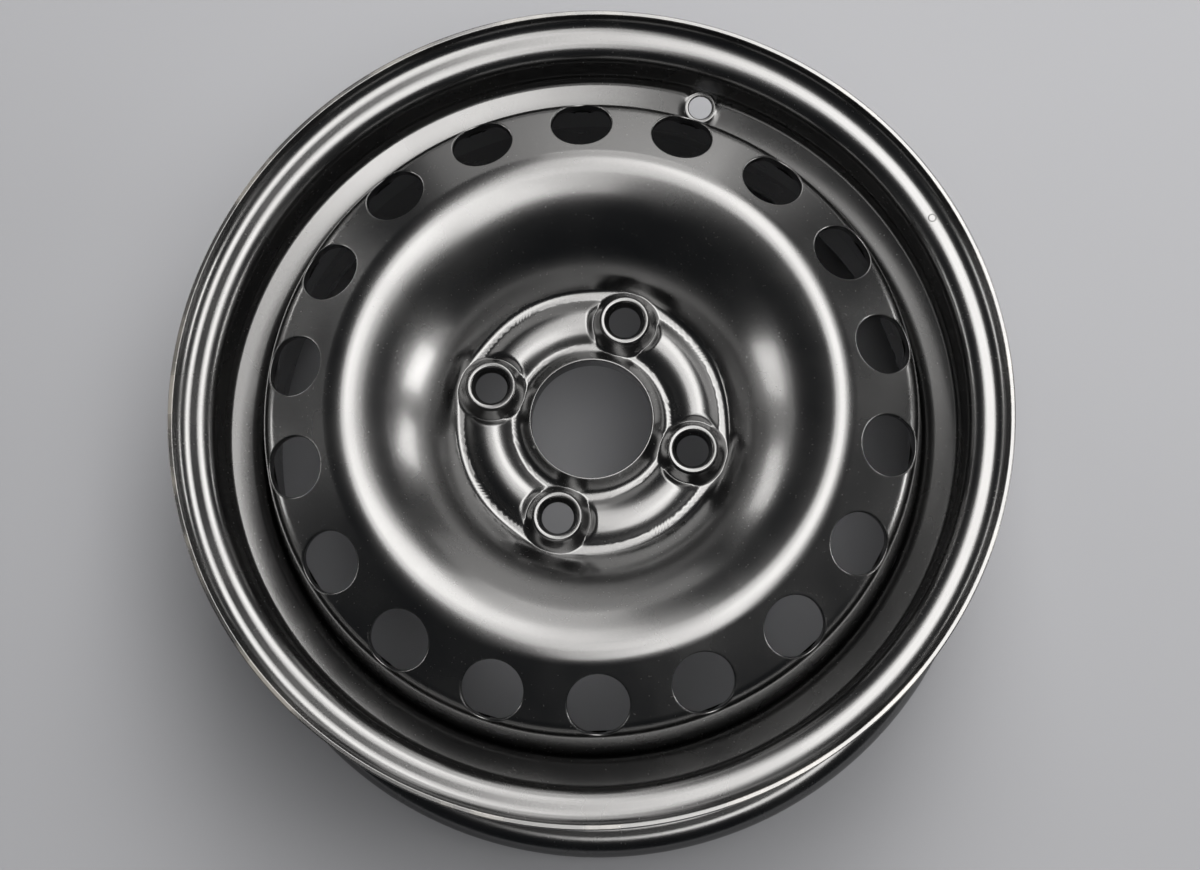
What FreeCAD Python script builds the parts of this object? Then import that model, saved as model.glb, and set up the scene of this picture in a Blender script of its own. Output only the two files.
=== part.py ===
"""A pressed steel car wheel, lying on its inboard flange with the outboard face up.

The wheel's axis is Z, the valve hole is at +Y, and Z = 0 is the floor under the inboard flange.
Each body is drawn about the rim's centre plane and lifted by half of the overall width.
"""
import FreeCAD, Part
import math
import os

import Sketcher

DIMENSIONS = [
    # Rim, a rolled sheet: the J flange, the five-degree bead seat, the round hump and the drop well
    ("bead_radius", 177.4, "bead seat at the flange"),
    ("flange_height", 17.5, "flange above the bead seat"),
    ("rim_width", 127.0, "between the tyre faces of the flanges"),
    ("rim_gauge", 2.4, "sheet of the rim"),
    ("curl_bend", 9.5, "curl of the flange, on the tyre face"),
    ("lip_length", 0.6, "straight lip past the curl"),
    ("heel_bend", 6.5, "heel between flange and bead seat, on the tyre face"),
    ("seat_angle", 5.0, "taper of the bead seat, in degrees"),
    ("seat_length", 17.5, "flange to the foot of the hump"),
    ("hump_rise", 1.03, "crest of the hump above the foot of the bead seat"),
    ("hump_reach", 5.0, "foot of the hump to its crest"),
    ("hump_drop", 2.9, "crest of the hump to the shoulder of the well"),
    ("seat_bend", 8.0, "hollow between bead seat and hump"),
    ("hump_bend", 6.0, "crest of the hump and shoulder of the well"),
    ("well_depth", 18.5, "bead seat at the flange to the floor of the well"),
    ("well_wall_run", 6.0, "outboard wall of the well, measured along the axis"),
    ("well_wall_bend", 7.0, "foot of the outboard wall"),
    ("well_inboard", 14.0, "centre plane to the inboard end of the well's floor"),
    ("well_inboard_bend", 10.0, "inboard end of the well's floor"),
    ("valve_hole_radius", 5.65, "valve hole"),
    ("valve_face_radius", 7.9, "pressed flat round the valve hole"),
    ("valve_face_tilt", 12.0, "flat's slope from the wheel's plane, in degrees"),
    ("valve_face_rise", 9.1, "floor of the well to the valve hole"),
    ("valve_face_proud", 0.3, "flat above the wall, at the hole"),
    # Disc, a pressing: hub pad, dish, crest, vent band and skirt
    ("disc_gauge", 3.6, "sheet of the disc"),
    ("wheel_offset", 35.0, "mounting face outboard of the centre plane"),
    ("bore_radius", 28.55, "centre bore"),
    ("bore_lip_height", 6.0, "lip of the bore above the hub pad"),
    ("bore_lip_edge", 0.9, "lip's top edge"),
    ("bore_lip_foot", 4.2, "lip at its foot"),
    ("land_inner", 39.5, "middle of the land's inner slope"),
    ("land_outer", 55.8, "middle of the land's outer slope"),
    ("land_slope", 4.2, "width of each slope"),
    ("land_height", 3.0, "land above the hub pad"),
    ("land_foot_bend", 3.0, "foot of each slope"),
    ("land_edge_bend", 5.5, "top of each slope"),
    ("dish_foot", 64.8, "where the dish leaves the hub pad"),
    ("dish_slope", 52.0, "dish from the wheel's plane, in degrees"),
    ("dish_foot_bend", 4.0, "foot of the dish"),
    ("crest_bend", 28.0, "crest between dish and vent band"),
    ("vent_place", 139.2, "vent holes from the axis"),
    ("vent_height", 69.0, "vent holes above the centre plane"),
    ("vent_slope", 25.0, "vent band from the wheel's plane, in degrees"),
    ("vent_radius", 14.2, "vent hole"),
    ("vent_count", 18, "vent holes"),
    ("shoulder_radius", 152.0, "corner between vent band and skirt"),
    ("shoulder_bend", 10.0, "bend between vent band and skirt"),
    ("skirt_bend", 12.0, "where the skirt meets the well"),
    ("skirt_end", 2.0, "edge of the skirt above the centre plane"),
    ("press_gap", 0.1, "skirt to well"),
    # Bolt bosses
    ("bolt_circle_radius", 50.0, "bolt holes from the axis"),
    ("bolt_count", 4, "bolt holes"),
    ("bolt_hole_radius", 7.5, "bolt hole"),
    ("boss_radius", 10.5, "boss at its top"),
    ("boss_height", 8.8, "boss above the hub pad"),
    ("boss_flare", 4.4, "flare at the foot of the boss"),
    ("boss_draft", 0.9, "boss wider at its foot"),
    ("boss_roof", 4.8, "metal over the hollow of the boss"),
    ("boss_hollow_radius", 10.8, "hollow under the boss, at the mounting face"),
    ("boss_hollow_top", 8.2, "hollow under the boss, at its roof"),
    ("socket_radius", 15.7, "wrench clearance round the boss, at the hub pad"),
    ("socket_slope", 18.0, "clearance wider upwards, in degrees"),
    ("socket_height", 14.0, "clearance above the hub pad"),
    ("ball_radius", 13.0, "ball of the bolt's seat"),
    ("ball_edge", 9.9, "seat at the top of the boss"),
    # Weld beads on the edge of the skirt
    ("weld_count", 8, "weld beads"),
    ("weld_angle", 22.0, "length of a bead, in degrees"),
    ("weld_leg", 3.4, "leg of a bead"),
    ("weld_crown", 2.7, "fullness of a bead between its legs"),
    ("weld_start", 11.5, "first bead's turn from +Y, in degrees"),
]

LIFT = "dims.rim_width / 2 + dims.curl_bend + dims.lip_length"
HALF = "dims.rim_width / 2"
PAD = "(dims.wheel_offset + dims.disc_gauge)"
WELL_FLOOR = "(dims.bead_radius - dims.well_depth)"
WELL_INSIDE = f"({WELL_FLOOR} - dims.rim_gauge)"

doc = FreeCAD.newDocument("steel_wheel")
dims = doc.addObject("Spreadsheet::Sheet", "dims")
for row, (alias, size, meaning) in enumerate(DIMENSIONS, start=1):
    dims.set(f"A{row}", meaning)
    dims.set(f"B{row}", str(size))
    dims.setAlias(f"B{row}", alias)
doc.recompute()


def value(expression):
    """The present number of an expression on the sheet."""
    result = dims.evalExpression(expression)
    return float(getattr(result, "Value", result))


def new_body(label):
    """A body lifted so that the inboard lip stands on the floor."""
    body = doc.addObject("PartDesign::Body", label)
    body.Label = label
    body.setExpression("Placement.Base.z", LIFT)
    return body


def new_sketch(body, name, plane):
    """A sketch on one of the body's own origin planes."""
    sketch = body.newObject("Sketcher::SketchObject", name)
    support = [part for part in body.Origin.OriginFeatures if part.Role == plane][0]
    sketch.AttachmentSupport = (support, [""])
    sketch.MapMode = "FlatFace"
    return sketch


def bind(sketch, constraint, expression):
    """Add a constraint whose size is an expression on the sheet."""
    index = sketch.addConstraint(Sketcher.Constraint(*constraint, value(expression)))
    sketch.setExpression(f"Constraints[{index}]", expression)


def tangent_points(corners, bends, closed):
    """Where each bend leaves the line before it and joins the line after it, with its centre."""
    joints = []
    last = len(corners) - 1
    for index, corner in enumerate(corners):
        bend = bends[index]
        if not bend or (not closed and index in (0, last)):
            joints.append((corner, corner, None))
            continue
        back = (corners[index - 1] - corner).normalize()
        ahead = (corners[(index + 1) % len(corners)] - corner).normalize()
        half_angle = back.getAngle(ahead) / 2
        reach = bend / math.tan(half_angle)
        centre = corner + (back + ahead).normalize() * (bend / math.sin(half_angle))
        joints.append((corner + back * reach, corner + ahead * reach, centre))
    return joints


def draw_chain(sketch, corners, bends, closed=False):
    """Lines along the corners with tangent bends; gives the line numbers and the bend numbers."""
    joints = tangent_points(corners, bends, closed)
    spans = len(corners) if closed else len(corners) - 1
    lines = []
    for index in range(spans):
        start = joints[index][1]
        end = joints[(index + 1) % len(corners)][0]
        lines.append(sketch.addGeometry(Part.LineSegment(start, end)))
    arcs = {}
    for index, (start, end, centre) in enumerate(joints):
        if not closed and index in (0, len(corners) - 1):
            continue
        before = lines[index - 1]
        after = lines[index % spans]
        if centre is None:
            sketch.addConstraint(Sketcher.Constraint("Coincident", before, 2, after, 1))
            continue
        left_turn = (start - centre).cross(end - centre).z > 0
        circle = Part.Circle(centre, FreeCAD.Vector(0, 0, 1), bends[index])
        first, second = (start, end) if left_turn else (end, start)
        arc = Part.ArcOfCircle(circle, circle.parameter(first), circle.parameter(second))
        arcs[index] = sketch.addGeometry(arc)
        entry, leave = (1, 2) if left_turn else (2, 1)
        sketch.addConstraint(Sketcher.Constraint("Tangent", before, 2, arcs[index], entry))
        sketch.addConstraint(Sketcher.Constraint("Tangent", arcs[index], leave, after, 1))
    return lines, arcs


def pin_corner(sketch, corner, place, lines):
    """A point fixed by two expressions, with the given lines passing through it."""
    across, up = place
    point = sketch.addGeometry(Part.Point(corner), True)
    bind(sketch, ("DistanceX", -1, 1, point, 1), across)
    bind(sketch, ("DistanceY", -1, 1, point, 1), up)
    for line in lines:
        sketch.addConstraint(Sketcher.Constraint("PointOnObject", point, 1, line))
    return point


def draw_outline(sketch, outline):
    """A closed outline of (across, up, bend) corners, each an expression on the sheet."""
    corners = [FreeCAD.Vector(value(across), value(up), 0) for across, up, bend in outline]
    bends = [value(bend) if bend else 0 for across, up, bend in outline]
    lines, arcs = draw_chain(sketch, corners, bends, closed=True)
    for index, (across, up, bend) in enumerate(outline):
        if bend:
            pin_corner(sketch, corners[index], (across, up), (lines[index - 1], lines[index]))
            bind(sketch, ("Radius", arcs[index]), bend)
        else:
            bind(sketch, ("DistanceX", -1, 1, lines[index], 1), across)
            bind(sketch, ("DistanceY", -1, 1, lines[index], 1), up)


def draw_sheet(sketch, path, gauge):
    """A sheet's section: the given face, and the other face one gauge to the right of it."""
    thickness = value(gauge)
    face = [FreeCAD.Vector(value(across), value(up), 0) for across, up, bend in path]
    face_bends = [value(bend) if bend else 0 for across, up, bend in path]
    headings = [(after - before).normalize() for before, after in zip(face, face[1:])]
    sides = [FreeCAD.Vector(heading.y, -heading.x, 0) for heading in headings]
    back = [face[0] + sides[0] * thickness]
    back_bends = [0]
    turns = [0]
    for index in range(1, len(face) - 1):
        mitre = (sides[index - 1] + sides[index]).normalize()
        back.append(face[index] + mitre * (thickness / mitre.dot(sides[index])))
        turns.append(1 if headings[index - 1].cross(headings[index]).z > 0 else -1)
        back_bends.append(face_bends[index] + turns[index] * thickness)
    back.append(face[-1] + sides[-1] * thickness)
    back_bends.append(0)

    lines, arcs = draw_chain(sketch, face, face_bends)
    back_lines, back_arcs = draw_chain(sketch, back, back_bends)
    last = len(path) - 1
    for index, (across, up, bend) in enumerate(path):
        passing = lines[max(index - 1, 0):index + 1]
        point = pin_corner(sketch, face[index], (across, up), passing if 0 < index < last else [])
        if index == 0:
            sketch.addConstraint(Sketcher.Constraint("Coincident", point, 1, lines[0], 1))
        if index == last:
            sketch.addConstraint(Sketcher.Constraint("Coincident", point, 1, lines[-1], 2))
        if bend:
            sign = "+" if turns[index] > 0 else "-"
            bind(sketch, ("Radius", arcs[index]), bend)
            bind(sketch, ("Radius", back_arcs[index]), f"{bend} {sign} {gauge}")
        if index < last:
            sketch.addConstraint(Sketcher.Constraint("Parallel", lines[index], back_lines[index]))
            bind(sketch, ("Distance", point, 1, back_lines[index]), gauge)
    for line, back_line, end in ((lines[0], back_lines[0], 1), (lines[-1], back_lines[-1], 2)):
        start, finish = sketch.getPoint(line, end), sketch.getPoint(back_line, end)
        cap = sketch.addGeometry(Part.LineSegment(start, finish))
        sketch.addConstraint(Sketcher.Constraint("Coincident", cap, 1, line, end))
        sketch.addConstraint(Sketcher.Constraint("Coincident", cap, 2, back_line, end))
        sketch.addConstraint(Sketcher.Constraint("Perpendicular", cap, line))


def revolve(body, kind, name, sketch, axis="V_Axis", angle="360"):
    """A Revolution or Groove of the sketch about one of its own axes."""
    feature = body.newObject(f"PartDesign::{kind}", name)
    feature.Profile = sketch
    feature.ReferenceAxis = (sketch, [axis])
    feature.setExpression("Angle", angle)
    doc.recompute()
    return feature


def pattern(body, name, features, count):
    """Copies of the features all round the wheel's axis."""
    axis = [part for part in body.Origin.OriginFeatures if part.Role == "Z_Axis"][0]
    copies = body.newObject("PartDesign::PolarPattern", name)
    copies.Originals = features
    copies.Axis = (axis, [""])
    copies.Angle = 360
    copies.setExpression("Occurrences", count)
    body.Tip = copies
    doc.recompute()
    return copies


def tilted_circle(body, name, place, height, tilt, radius):
    """A circle on the +Y side of the wheel, on a plane tilted about X."""
    sketch = new_sketch(body, name, "XY_Plane")
    turn = FreeCAD.Rotation(FreeCAD.Vector(1, 0, 0), value(tilt))
    sketch.AttachmentOffset = FreeCAD.Placement(FreeCAD.Vector(0, value(place), value(height)), turn)
    sketch.setExpression("AttachmentOffset.Base.y", place)
    sketch.setExpression("AttachmentOffset.Base.z", height)
    sketch.setExpression("AttachmentOffset.Rotation.Angle", tilt)
    circle = Part.Circle(FreeCAD.Vector(0, 0, 0), FreeCAD.Vector(0, 0, 1), value(radius))
    ring = sketch.addGeometry(circle)
    sketch.addConstraint(Sketcher.Constraint("Coincident", ring, 3, -1, 1))
    bind(sketch, ("Radius", ring), radius)
    doc.recompute()
    return sketch


def extrude(body, kind, name, sketch, length, reverse=False, both_ways=False):
    """A Pad or Pocket of the sketch, one way or the same length both ways."""
    feature = body.newObject(f"PartDesign::{kind}", name)
    feature.Profile = sketch
    feature.Reversed = reverse
    if both_ways:
        feature.SideType = "Symmetric"
    feature.setExpression("Length", length)
    doc.recompute()
    return feature


# Rim: one rolled sheet, drawn along its tyre face from the outboard lip to the inboard lip
rim = new_body("rim")
flange_radius = "dims.bead_radius + dims.flange_height"
seat_foot_radius = "(dims.bead_radius - dims.seat_length * tan(dims.seat_angle * 1deg))"
seat_foot_up = f"({HALF} - dims.seat_length)"
hump_up = f"({HALF} - dims.seat_length - dims.hump_reach)"
shoulder_up = f"({HALF} - dims.seat_length - 2 * dims.hump_reach)"
hump_radius = f"({seat_foot_radius} + dims.hump_rise)"
shoulder_radius = f"({hump_radius} - dims.hump_drop)"
well_up = f"({shoulder_up} - dims.well_wall_run)"
rim_path = [
    (flange_radius, LIFT, None),
    (flange_radius, HALF, "dims.curl_bend"),
    ("dims.bead_radius", HALF, "dims.heel_bend"),
    (seat_foot_radius, seat_foot_up, "dims.seat_bend"),
    (hump_radius, hump_up, "dims.hump_bend"),
    (shoulder_radius, shoulder_up, "dims.hump_bend"),
    (WELL_FLOOR, well_up, "dims.well_wall_bend"),
    (WELL_FLOOR, "-dims.well_inboard", "dims.well_inboard_bend"),
    (hump_radius, f"-{hump_up}", "dims.hump_bend"),
    (seat_foot_radius, f"-{seat_foot_up}", "dims.seat_bend"),
    ("dims.bead_radius", f"-{HALF}", "dims.heel_bend"),
    (flange_radius, f"-{HALF}", "dims.curl_bend"),
    (flange_radius, f"-({LIFT})", None),
]
rim_section = new_sketch(rim, "rim_section", "XZ_Plane")
draw_sheet(rim_section, rim_path, "dims.rim_gauge")
revolve(rim, "Revolution", "rolled_rim", rim_section)

# Valve hole: a pressed flat in the outboard wall of the well, with the hole through it
valve_place = f"({WELL_FLOOR} + dims.valve_face_rise)"
wall_slope = f"(dims.well_wall_run / ({shoulder_radius} - {WELL_FLOOR}))"
wall_up = (f"{shoulder_up} - ({shoulder_radius} - {valve_place}) * {wall_slope}"
           f" + dims.rim_gauge * sqrt(1 + {wall_slope} ^ 2)")
flat_place = (valve_place, f"{wall_up} + dims.valve_face_proud", "dims.valve_face_tilt")
flat_circle = tilted_circle(rim, "valve_flat_circle", *flat_place, "dims.valve_face_radius")
extrude(rim, "Pad", "valve_flat", flat_circle, "dims.rim_gauge", reverse=True)
clear_circle = tilted_circle(rim, "valve_clear_circle", *flat_place, "dims.valve_face_radius")
extrude(rim, "Pocket", "valve_flat_clear", clear_circle, "dims.valve_face_radius", reverse=True)
hole_circle = tilted_circle(rim, "valve_hole_circle", *flat_place, "dims.valve_hole_radius")
extrude(rim, "Pocket", "valve_hole", hole_circle, "4 * dims.rim_gauge", both_ways=True)

# Disc: one pressing, drawn along its outboard face from the bore to the edge of the skirt
disc = new_body("disc")
band_fall = "tan(dims.vent_slope * 1deg)"
dish_rise = "tan(dims.dish_slope * 1deg)"
crest_radius = (f"(dims.vent_height + dims.vent_place * {band_fall} - {PAD} + dims.dish_foot * {dish_rise})"
                f" / ({band_fall} + {dish_rise})")
crest_up = f"{PAD} + ({crest_radius} - dims.dish_foot) * {dish_rise}"
shoulder_top = f"dims.vent_height - (dims.shoulder_radius - dims.vent_place) * {band_fall}"
skirt_radius = f"({WELL_INSIDE} - dims.press_gap)"
land_up = f"{PAD} + dims.land_height"
disc_path = [
    ("dims.bore_radius", PAD, None),
    ("dims.land_inner - dims.land_slope / 2", PAD, "dims.land_foot_bend"),
    ("dims.land_inner + dims.land_slope / 2", land_up, "dims.land_edge_bend"),
    ("dims.land_outer - dims.land_slope / 2", land_up, "dims.land_edge_bend"),
    ("dims.land_outer + dims.land_slope / 2", PAD, "dims.land_foot_bend"),
    ("dims.dish_foot", PAD, "dims.dish_foot_bend"),
    (crest_radius, crest_up, "dims.crest_bend"),
    ("dims.shoulder_radius", shoulder_top, "dims.shoulder_bend"),
    (skirt_radius, well_up, "dims.skirt_bend"),
    (skirt_radius, "dims.skirt_end", None),
]
disc_section = new_sketch(disc, "disc_section", "XZ_Plane")
draw_sheet(disc_section, disc_path, "dims.disc_gauge")
revolve(disc, "Revolution", "pressed_disc", disc_section)

# Lip turned up round the bore
lip_section = new_sketch(disc, "bore_lip_section", "XZ_Plane")
draw_outline(lip_section, [
    ("dims.bore_radius", "dims.wheel_offset", None),
    ("dims.bore_radius + dims.bore_lip_foot", "dims.wheel_offset", None),
    ("dims.bore_radius + dims.bore_lip_foot", PAD, None),
    ("dims.bore_radius + dims.bore_lip_edge", f"{PAD} + dims.bore_lip_height", None),
    ("dims.bore_radius", f"{PAD} + dims.bore_lip_height", None),
])
revolve(disc, "Revolution", "bore_lip", lip_section)

# Vent holes, punched square to the sloping band
vent_circle = tilted_circle(disc, "vent_circle", "dims.vent_place", "dims.vent_height", "-dims.vent_slope",
                            "dims.vent_radius")
vent = extrude(disc, "Pocket", "vent", vent_circle, "2 * dims.vent_radius", both_ways=True)
pattern(disc, "vents", [vent], "dims.vent_count")


def bolt_axis_sketch(name):
    """A sketch on the plane through the bolt's axis, with that axis drawn in."""
    sketch = new_sketch(disc, name, "YZ_Plane")
    foot = FreeCAD.Vector(value("dims.bolt_circle_radius"), 0, 0)
    axis = sketch.addGeometry(Part.LineSegment(foot, foot + FreeCAD.Vector(0, value(PAD), 0)), True)
    bind(sketch, ("DistanceX", -1, 1, axis, 1), "dims.bolt_circle_radius")
    sketch.addConstraint(Sketcher.Constraint("PointOnObject", axis, 1, -1))
    sketch.addConstraint(Sketcher.Constraint("Vertical", axis))
    bind(sketch, ("DistanceY", axis, 1, axis, 2), PAD)
    return sketch


def turn_at_bolts(kind, name, sketch):
    """Turn the sketch about the bolt's axis, and repeat it at every bolt."""
    feature = revolve(disc, kind, name, sketch, "Axis0")
    pattern(disc, f"{name}_copies", [feature], "dims.bolt_count")


def bolt_outline(name, outline):
    """A closed outline beside the bolt's axis, measured across from it."""
    sketch = bolt_axis_sketch(name)
    draw_outline(sketch, [(f"dims.bolt_circle_radius + {across}", up, bend) for across, up, bend in outline])
    return sketch


# Wrench clearance, which shapes the lobes of the hub pad and the ends of the lands
boss_up = f"{PAD} + dims.boss_height"
socket_up = f"{PAD} + dims.socket_height"
turn_at_bolts("Groove", "socket_clearance", bolt_outline("socket_outline", [
    ("0", PAD, None),
    ("dims.socket_radius", PAD, None),
    ("dims.socket_radius + dims.socket_height * tan(dims.socket_slope * 1deg)", socket_up, None),
    ("0", socket_up, None),
]))

# Boss, on a round of the hub pad
turn_at_bolts("Revolution", "boss", bolt_outline("boss_outline", [
    ("0", "dims.wheel_offset", None),
    ("dims.socket_radius + dims.disc_gauge", "dims.wheel_offset", None),
    ("dims.socket_radius + dims.disc_gauge", PAD, None),
    ("dims.boss_radius + dims.boss_draft", PAD, "dims.boss_flare"),
    ("dims.boss_radius", boss_up, None),
    ("0", boss_up, None),
]))

# Ball seat in the top of the boss: a quarter of a disc turned about the bolt's axis
ball_centre_up = f"{boss_up} + sqrt(dims.ball_radius ^ 2 - dims.ball_edge ^ 2)"
ball_sketch = bolt_axis_sketch("ball_outline")
ball_centre = FreeCAD.Vector(value("dims.bolt_circle_radius"), value(ball_centre_up), 0)
ball_size = value("dims.ball_radius")
ball_bottom = ball_centre - FreeCAD.Vector(0, ball_size, 0)
ball_side = ball_centre + FreeCAD.Vector(ball_size, 0, 0)
ball_circle = Part.Circle(ball_centre, FreeCAD.Vector(0, 0, 1), ball_size)
ball_arc = ball_sketch.addGeometry(Part.ArcOfCircle(ball_circle, -math.pi / 2, 0))
ball_top = ball_sketch.addGeometry(Part.LineSegment(ball_side, ball_centre))
ball_axis = ball_sketch.addGeometry(Part.LineSegment(ball_centre, ball_bottom))
ball_sketch.addConstraint([
    Sketcher.Constraint("Coincident", ball_arc, 2, ball_top, 1),
    Sketcher.Constraint("Coincident", ball_top, 2, ball_axis, 1),
    Sketcher.Constraint("Coincident", ball_axis, 2, ball_arc, 1),
    Sketcher.Constraint("Coincident", ball_arc, 3, ball_axis, 1),
    Sketcher.Constraint("Horizontal", ball_top),
    Sketcher.Constraint("Vertical", ball_axis),
])
bind(ball_sketch, ("Radius", ball_arc), "dims.ball_radius")
bind(ball_sketch, ("DistanceX", -1, 1, ball_arc, 3), "dims.bolt_circle_radius")
bind(ball_sketch, ("DistanceY", -1, 1, ball_arc, 3), ball_centre_up)
turn_at_bolts("Groove", "ball_seat", ball_sketch)

# Bolt hole, with the hollow that the pressing leaves under the boss
roof_up = f"{boss_up} - dims.boss_roof"
turn_at_bolts("Groove", "bolt_hole", bolt_outline("bolt_hole_outline", [
    ("0", "dims.wheel_offset", None),
    ("dims.boss_hollow_radius", "dims.wheel_offset", None),
    ("dims.boss_hollow_top", roof_up, None),
    ("dims.bolt_hole_radius", roof_up, None),
    ("dims.bolt_hole_radius", boss_up, None),
    ("0", boss_up, None),
]))

# Weld beads between the edge of the skirt and the well
disc_welds = new_body("disc_welds")
weld_section = new_sketch(disc_welds, "weld_section", "XZ_Plane")
weld_turn = FreeCAD.Rotation(FreeCAD.Vector(0, 1, 0), value("dims.weld_start"))
weld_section.AttachmentOffset = FreeCAD.Placement(FreeCAD.Vector(), weld_turn)
weld_section.setExpression("AttachmentOffset.Rotation.Angle", "dims.weld_start")
draw_outline(weld_section, [
    (skirt_radius, "dims.skirt_end", None),
    (f"{skirt_radius} - dims.weld_leg", "dims.skirt_end", None),
    (f"{skirt_radius} - dims.weld_crown", "dims.skirt_end - dims.weld_crown", "dims.weld_crown"),
    (skirt_radius, "dims.skirt_end - dims.weld_leg", None),
])
bead = revolve(disc_welds, "Revolution", "weld_bead", weld_section, angle="dims.weld_angle")
pattern(disc_welds, "weld_beads", [bead], "dims.weld_count")

doc.recompute()
for item in doc.Objects:
    faults = {"Invalid", "Error"} & set(item.State)
    if faults:
        raise RuntimeError(f"{item.Label}: {sorted(faults)} {item.getStatusString()}")

os.makedirs("parts", exist_ok=True)
for part in (rim, disc, disc_welds):
    if part.Shape.isNull() or not part.Shape.isValid():
        raise RuntimeError(f"{part.Label}: no valid shape")
    part.Shape.exportStep(f"parts/{part.Label}.step")
    print(part.Label, len(part.Shape.Solids), "solids", round(part.Shape.Volume), "mm3")
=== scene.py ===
import math

import bpy
import numpy as np
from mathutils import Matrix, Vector


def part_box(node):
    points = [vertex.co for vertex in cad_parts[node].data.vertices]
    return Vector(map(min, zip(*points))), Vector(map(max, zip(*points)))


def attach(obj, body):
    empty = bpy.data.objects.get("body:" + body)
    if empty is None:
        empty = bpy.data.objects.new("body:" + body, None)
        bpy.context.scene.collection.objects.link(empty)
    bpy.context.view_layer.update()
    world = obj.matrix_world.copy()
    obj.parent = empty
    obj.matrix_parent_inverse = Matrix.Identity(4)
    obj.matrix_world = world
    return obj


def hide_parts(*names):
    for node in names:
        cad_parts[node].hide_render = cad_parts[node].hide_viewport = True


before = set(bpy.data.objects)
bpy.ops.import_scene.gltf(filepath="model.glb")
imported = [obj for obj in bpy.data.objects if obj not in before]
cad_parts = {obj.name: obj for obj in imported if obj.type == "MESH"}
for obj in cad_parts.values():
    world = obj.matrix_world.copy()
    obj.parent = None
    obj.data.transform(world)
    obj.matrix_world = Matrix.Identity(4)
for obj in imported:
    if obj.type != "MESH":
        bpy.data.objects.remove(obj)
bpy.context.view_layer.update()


# Rim: a hoop of 2.4 mm steel sheet, rolled to its section and butt welded, then dipped in black paint.
# Both edges curl outwards into flanges for the tyre, with a drop well between the bead seats.
# The valve hole is punched through a small flat that is pressed into the well's outboard wall.
MM = 0.001
FACETS = 288
LINE_STEP = 2.2
ARC_STEP = math.radians(7.5)
RIM_GAUGE = 2.4
BEAD_RADIUS = 177.4
FLANGE_RADIUS = BEAD_RADIUS + 17.5
HALF_WIDTH = 63.5
CURL_BEND = 9.5
LIP_END = HALF_WIDTH + CURL_BEND + 0.6
SEAT_FOOT = (BEAD_RADIUS - 17.5 * math.tan(math.radians(5)), HALF_WIDTH - 17.5)
HUMP = (176.9, HALF_WIDTH - 22.5)
SHOULDER = (HUMP[0] - 2.9, HALF_WIDTH - 27.5)
WELL_RADIUS = 158.9
WELL_UP = SHOULDER[1] - 6.0
WELL_INBOARD = -14.0
EDGE_ROUND = 0.55
EDGE_SOFT = 0.4
CENTRE_UP = (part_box("rim")[0].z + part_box("rim")[1].z) / 2


def unit(vector):
    """The vector at length one."""
    return vector / np.linalg.norm(vector)


def sheet_face(corners):
    """Points, normals and running length along a bent sheet's face, in millimetres.

    Corners are (radius, height, bend). The sheet lies to the right of the way the face is drawn.
    """
    spots = [np.array(corner[:2], float) for corner in corners]
    points = [spots[0]]
    headings = [unit(spots[1] - spots[0])]
    for index in range(1, len(spots)):
        before = unit(spots[index - 1] - spots[index])
        if index == len(spots) - 1:
            entry, bend = spots[index], None
        else:
            after = unit(spots[index + 1] - spots[index])
            half = math.acos(np.dot(before, after)) / 2
            bend = corners[index][2]
            entry = spots[index] + before * bend / math.tan(half)
            centre = spots[index] + unit(before + after) * bend / math.sin(half)
        start = points[-1]
        parts = max(1, round(np.linalg.norm(entry - start) / LINE_STEP))
        for part in range(1, parts + 1):
            points.append(start + (entry - start) * part / parts)
            headings.append(-before)
        if bend:
            sweep = math.pi - 2 * half
            turn = 1 if np.cross(-before, after) > 0 else -1
            parts = max(2, math.ceil(sweep / ARC_STEP))
            for part in range(1, parts + 1):
                angle = turn * sweep * part / parts
                spin = np.array([[math.cos(angle), -math.sin(angle)], [math.sin(angle), math.cos(angle)]])
                points.append(centre + spin @ (entry - centre))
                headings.append(spin @ -before)
    points, headings = np.array(points), np.array(headings)
    normals = np.stack([-headings[:, 1], headings[:, 0]], axis=1)
    steps = np.linalg.norm(np.diff(points, axis=0), axis=1)
    return points, normals, np.concatenate([[0.0], np.cumsum(steps)])


def spin_round(profile, normals, angles):
    """Turn a section about the axis: places and normals for each section point and angle from +Y."""
    sines, cosines = np.sin(angles), np.cos(angles)

    def turned(pairs):
        heights = np.repeat(pairs[:, 1:2], len(angles), axis=1)
        return np.stack([np.outer(pairs[:, 0], sines), np.outer(pairs[:, 0], cosines), heights], axis=2)

    return turned(np.asarray(profile, float)), turned(np.asarray(normals, float))


def at_angles(radii, heights, angles):
    """Points at the given radii, heights and angles from +Y."""
    return np.stack([radii * np.sin(angles), radii * np.cos(angles), heights], axis=-1)


def loop_normals(loops):
    """Normals of a grid of closed loops, from the slopes between its own points."""
    along = np.roll(loops, -1, axis=1) - np.roll(loops, 1, axis=1)
    across = np.gradient(loops, axis=0)
    normals = np.cross(along, across)
    return normals / np.maximum(np.linalg.norm(normals, axis=2, keepdims=True), 1e-12)


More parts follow.
